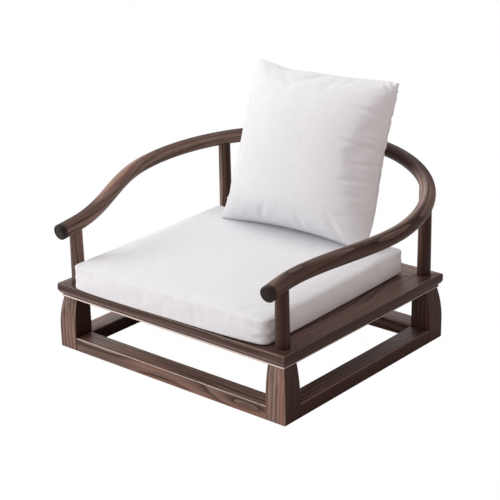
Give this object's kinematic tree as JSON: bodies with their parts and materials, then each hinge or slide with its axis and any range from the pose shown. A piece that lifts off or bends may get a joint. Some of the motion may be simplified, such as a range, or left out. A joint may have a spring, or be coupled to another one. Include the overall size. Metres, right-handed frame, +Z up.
{
  "type": "tatami chair",
  "caption": "Low wooden floor chair: square seat on short legs and floor rails, round horseshoe arm and back rail on turned posts, with a loose seat cushion and back pillow.",
  "frame": {"origin": "middle of the chair's outline on the floor that it stands on", "axes": "+Z up, the sitter looks along -Y, +X is the right-hand side seen from the front"},
  "size_m": [0.786, 0.6885, 0.5741],
  "materials": {
    "walnut": "oiled dark brown hardwood, satin",
    "seat_linen": "pale grey woven cover",
    "pillow_linen": "pale grey woven cover",
    "filling": "cotton and foam filling",
    "zip_tape": "woven tape with nylon coil",
    "zip_metal": "plain nickel"
  },
  "bodies": {
    "frame": {"seat_rail_front": "walnut", "seat_rail_back": "walnut", "seat_rail_right": "walnut", "seat_rail_left": "walnut", "corner_tenons": "walnut", "seat_panel": "walnut", "seat_batten_left": "walnut", "seat_batten_right": "walnut", "leg_front_left": "walnut", "leg_front_right": "walnut", "leg_back_right": "walnut", "leg_back_left": "walnut", "floor_rail_front": "walnut", "floor_rail_back": "walnut", "floor_rail_right": "walnut", "floor_rail_left": "walnut", "arm_right": "walnut", "bend_right": "walnut", "crest": "walnut", "bend_left": "walnut", "arm_left": "walnut", "scarf_pegs": "walnut", "post_front_left": "walnut", "post_front_right": "walnut", "post_back_left": "walnut", "post_back_right": "walnut", "back_splat": "walnut"},
    "seat_cushion": {"seat_cover": "seat_linen", "seat_filling": "filling", "seat_zip_tape": "zip_tape"},
    "back_pillow": {"pillow_cover": "pillow_linen", "pillow_filling": "filling", "pillow_zip_tape": "zip_tape"},
    "seat_zip_slider": {"seat_zip_slider": "zip_metal"},
    "seat_zip_pull": {"seat_zip_pull": "zip_metal"},
    "pillow_zip_slider": {"pillow_zip_slider": "zip_metal"},
    "pillow_zip_pull": {"pillow_zip_pull": "zip_metal"}
  },
  "joints": [
    {"name": "seat_cushion_lift", "type": "slide", "parent": "frame", "child": "seat_cushion", "axis": [0, 0, 1], "range_m": [0, 0.35]},
    {"name": "back_pillow_lift", "type": "slide", "parent": "seat_cushion", "child": "back_pillow", "axis": [0, 0, 1], "range_m": [0, 0.45]},
    {"name": "seat_zip_slide", "type": "slide", "parent": "seat_cushion", "child": "seat_zip_slider", "axis": [0.9995, 0.0314, 0], "range_m": [0, 0.444]},
    {"name": "seat_zip_pull_swing", "type": "hinge", "parent": "seat_zip_slider", "child": "seat_zip_pull", "pos_m": [-0.24123, 0.18366, 0.1808], "axis": [0, 0, -1], "range_deg": [0, 180]},
    {"name": "pillow_zip_slide", "type": "slide", "parent": "back_pillow", "child": "pillow_zip_slider", "axis": [-0.0128, 0.3663, 0.9304], "range_m": [0, 0.284]},
    {"name": "pillow_zip_pull_swing", "type": "hinge", "parent": "pillow_zip_slider", "child": "pillow_zip_pull", "pos_m": [-0.19853, 0.11356, 0.26006], "axis": [-0.0325, 0.9299, -0.3665], "range_deg": [0, 180]}
  ]
}
